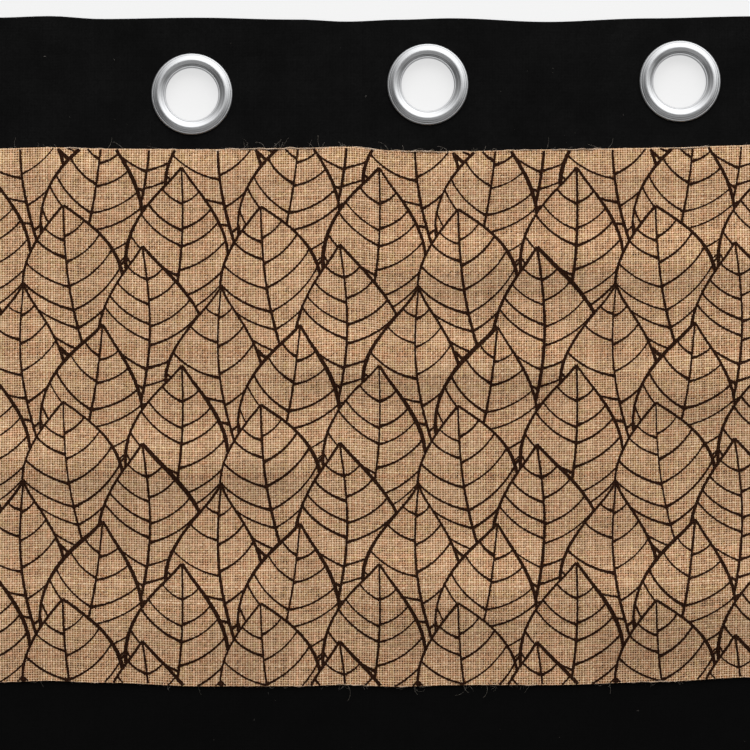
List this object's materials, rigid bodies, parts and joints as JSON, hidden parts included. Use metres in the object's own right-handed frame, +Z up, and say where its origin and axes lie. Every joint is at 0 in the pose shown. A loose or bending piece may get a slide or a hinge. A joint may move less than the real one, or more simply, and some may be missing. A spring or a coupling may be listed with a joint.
{
  "type": "jute eyelet curtain",
  "caption": "Eyelet curtain of black cotton cloth with a broad leaf-printed jute band under its stiffened heading; it hangs flat from a rod through domed metal eyelets.",
  "frame": {"origin": "middle of the straight line along the curtain's top edge, in the middle of the black cloth's thickness", "axes": "+Z up the hanging cloth, +X across it to the right as seen from the front, -Y out of its printed front"},
  "size_m": [1.4, 0.0238, 1.7539],
  "materials": {
    "black_cotton": "fine plain-woven black cotton, matte, with a little pale lint",
    "printed_jute": "coarse plain-woven natural jute, printed with overlapping leaves in near-black line",
    "eyelet_chrome": "polished silver plating on pressed rings"
  },
  "bodies": {
    "root": {"heading_band": "black_cotton", "black_panel": "black_cotton", "jute_panel": "printed_jute", "eyelet_front_1": "eyelet_chrome", "eyelet_front_2": "eyelet_chrome", "eyelet_front_3": "eyelet_chrome", "eyelet_front_4": "eyelet_chrome", "eyelet_front_5": "eyelet_chrome", "eyelet_front_6": "eyelet_chrome", "eyelet_front_7": "eyelet_chrome", "eyelet_front_8": "eyelet_chrome", "eyelet_back_1": "eyelet_chrome", "eyelet_back_2": "eyelet_chrome", "eyelet_back_3": "eyelet_chrome", "eyelet_back_4": "eyelet_chrome", "eyelet_back_5": "eyelet_chrome", "eyelet_back_6": "eyelet_chrome", "eyelet_back_7": "eyelet_chrome", "eyelet_back_8": "eyelet_chrome"}
  },
  "joints": []
}
